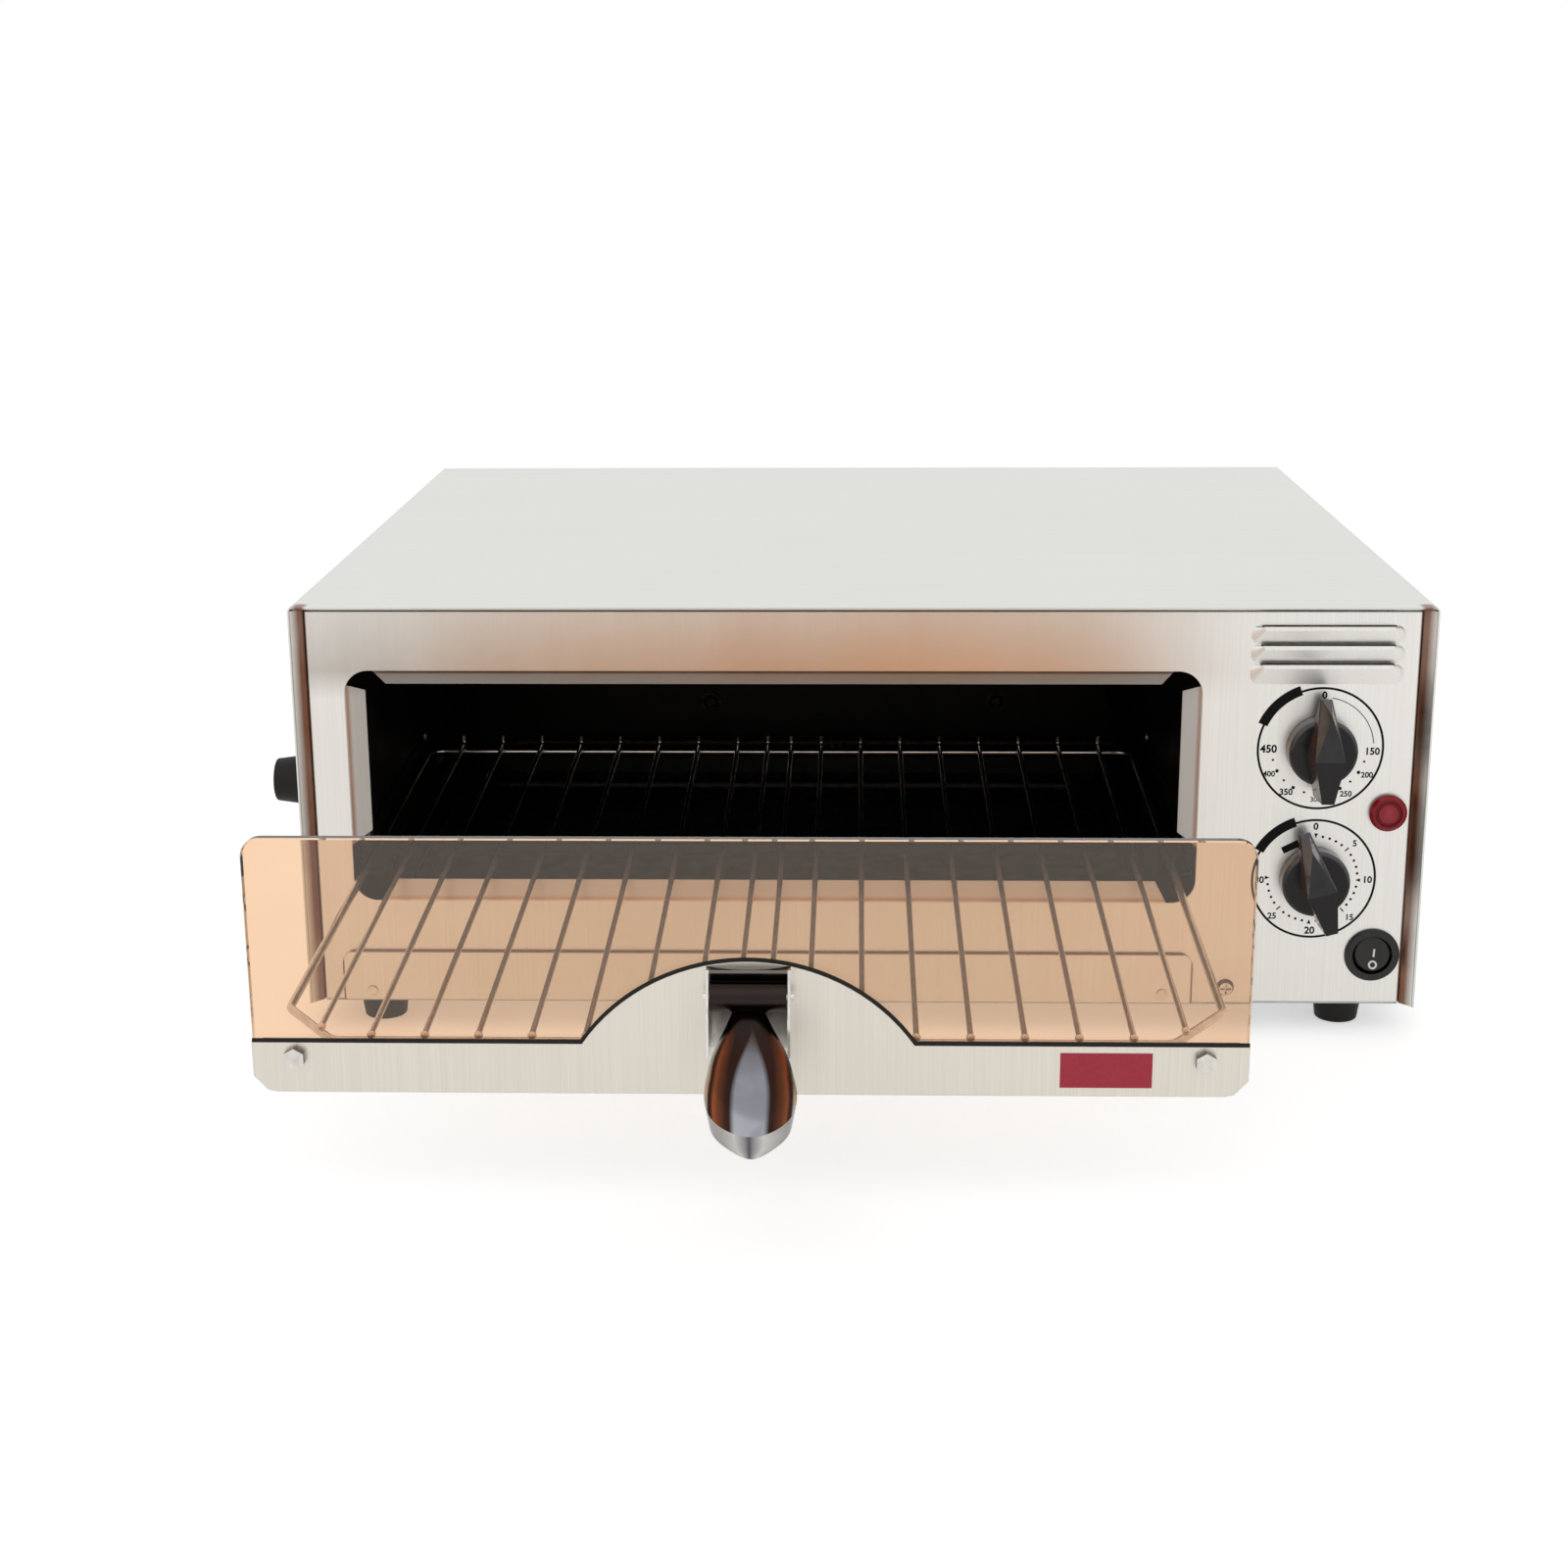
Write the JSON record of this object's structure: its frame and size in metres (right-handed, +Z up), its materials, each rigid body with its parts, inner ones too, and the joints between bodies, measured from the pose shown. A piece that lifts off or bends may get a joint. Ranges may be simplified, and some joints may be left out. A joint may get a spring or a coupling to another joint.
{
  "type": "countertop pizza oven",
  "caption": "Countertop pizza oven: steel casing, glass-fronted wire rack that slides out, crumb tray, thermostat and timer dials, indicator lamp and rocker switch.",
  "frame": {"origin": "centre of the overall footprint with the drawer as stored, on the plane under the feet", "axes": "+Z up, -Y out of the front where the drawer slides, +X to the right seen from the front"},
  "size_m": [0.488, 0.6212, 0.1863],
  "materials": {
    "casing_steel": "brushed stainless, fine vertical grain on the front",
    "zinc_steel": "zinc-coated sheet",
    "cavity_coat": "black satin heatproof coat",
    "tray_steel": "dark coated sheet",
    "chrome_wire": "bright plated wire",
    "fastener_steel": "bright zinc-plated",
    "dark_screw": "heat-darkened steel",
    "grip_black": "dark mirror-bright moulding",
    "knob_black": "glossy moulding",
    "shaft_brass": "turned brass",
    "copper": "drawn copper",
    "element_sheath": "oxidised alloy sheath",
    "bead_ceramic": "unglazed white ceramic",
    "tinted_glass": "bronze-tinted toughened glass",
    "lamp_red": "red translucent lens",
    "lamp_white": "white moulding",
    "switch_black": "satin black moulding",
    "control_case": "cream phenolic",
    "timer_case": "plated pressing",
    "blanket": "mineral wool",
    "wire_sleeve": "silicone sleeve",
    "foot_rubber": "black rubber",
    "sticker_red": "blank crimson film"
  },
  "bodies": {
    "casing": {"wrap_cover": "casing_steel", "front_panel": "casing_steel", "rear_panel": "casing_steel", "base_pan": "zinc_steel", "heat_shield": "zinc_steel", "tray_runners": "zinc_steel", "bulb_clips": "zinc_steel", "liner_wrap": "cavity_coat", "liner_back": "cavity_coat", "rack_guide_left": "cavity_coat", "rack_guide_right": "cavity_coat", "element_supports": "cavity_coat", "panel_screw": "fastener_steel", "casing_screws": "fastener_steel", "guide_rivets": "fastener_steel", "foot_studs": "fastener_steel", "hex_nuts": "fastener_steel", "control_nuts": "fastener_steel", "lamp_nut": "fastener_steel", "element_collars": "fastener_steel", "rear_spacers": "fastener_steel", "wall_screws": "dark_screw", "wall_washers": "dark_screw", "terminal_studs": "shaft_brass", "thermostat_bulb": "copper", "lower_element": "element_sheath", "upper_element": "element_sheath", "terminal_beads": "bead_ceramic", "lamp_lens": "lamp_red", "lamp_body": "lamp_white", "terminal_block": "lamp_white", "switch_housing": "switch_black", "cord_gland": "switch_black", "thermostat_body": "control_case", "timer_body": "timer_case", "timer_bell": "timer_case", "insulation_blanket": "blanket", "wiring": "wire_sleeve", "feet": "foot_rubber", "side_bumpers": "foot_rubber"},
    "drawer": {"wire_rack": "chrome_wire", "clamp_strip": "zinc_steel", "door_glass": "tinted_glass", "door_band": "casing_steel", "door_bolts": "fastener_steel", "door_nuts": "fastener_steel", "band_sticker": "sticker_red", "rack_clips": "chrome_wire", "handle_bracket": "chrome_wire", "handle_grip": "grip_black", "handle_pin": "chrome_wire", "handle_screw": "fastener_steel"},
    "crumb_tray_unit": {"crumb_tray": "tray_steel", "tray_flap": "casing_steel", "tray_rivets": "fastener_steel"},
    "thermostat_dial": {"thermostat_knob": "knob_black", "thermostat_shaft": "shaft_brass"},
    "timer_dial": {"timer_knob": "knob_black", "timer_shaft": "shaft_brass"},
    "rocker": {"switch_rocker": "switch_black"}
  },
  "joints": [
    {"name": "drawer_slide", "type": "slide", "parent": "casing", "child": "drawer", "axis": [0, -0.9989, -0.0471], "range_m": [-0.1648, 0.06]},
    {"name": "crumb_tray_slide", "type": "slide", "parent": "casing", "child": "crumb_tray_unit", "axis": [0, -1, 0], "range_m": [0, 0.3]},
    {"name": "thermostat_turn", "type": "hinge", "parent": "casing", "child": "thermostat_dial", "pos_m": [0.19715, -0.09044, 0.1257], "axis": [0, 1, 0], "range_deg": [0, 270]},
    {"name": "timer_turn", "type": "hinge", "parent": "casing", "child": "timer_dial", "pos_m": [0.19715, -0.09044, 0.0689], "axis": [0, 1, 0], "range_deg": [0, 285.5]},
    {"name": "switch_rock", "type": "hinge", "parent": "casing", "child": "rocker", "pos_m": [0.22365, -0.08344, 0.0352], "axis": [1, 0, 0], "range_deg": [0, 20]}
  ]
}
